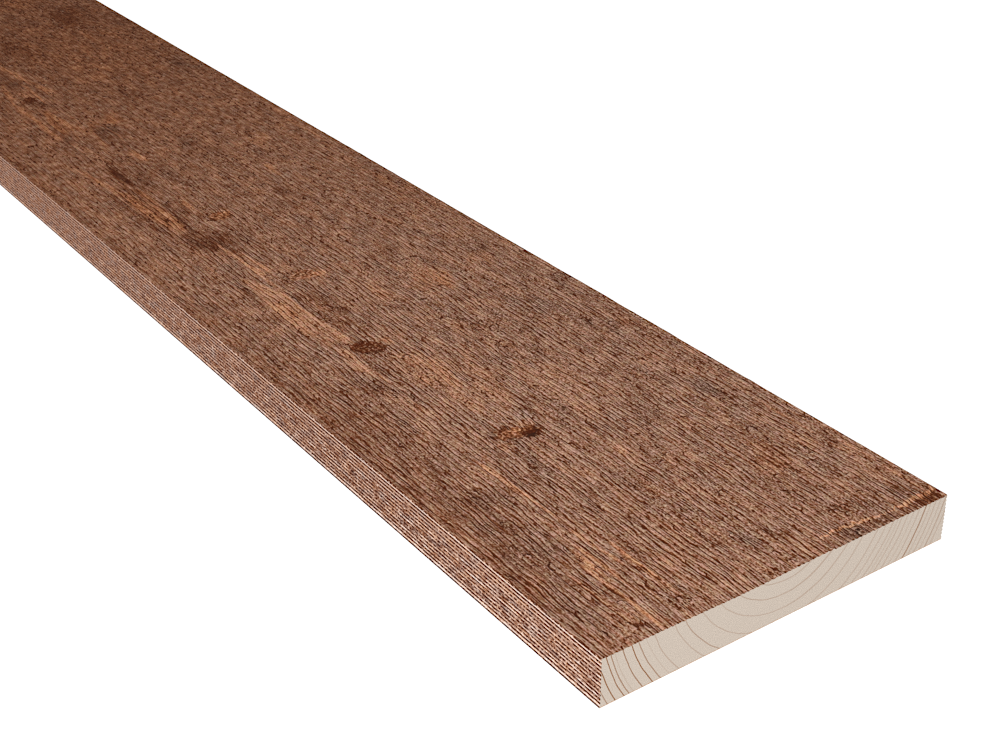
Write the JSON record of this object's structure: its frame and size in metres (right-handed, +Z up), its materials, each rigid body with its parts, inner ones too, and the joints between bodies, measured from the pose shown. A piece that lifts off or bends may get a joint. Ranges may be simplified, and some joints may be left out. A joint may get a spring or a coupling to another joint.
{
  "type": "timber lumber plank",
  "caption": "Long flat softwood plank with a rectangular section, combed top face and edges, a plain underside and square sawn ends.",
  "frame": {"origin": "centre of the underside, where the plank lies on the floor", "axes": "+X across the width, +Y along the length and the grain, +Z up out of the combed top face"},
  "size_m": [0.145, 1.8, 0.018],
  "materials": {
    "stained_softwood": "brown stained softwood with combed faces, matt"
  },
  "bodies": {
    "root": {"plank": "stained_softwood"}
  },
  "joints": []
}
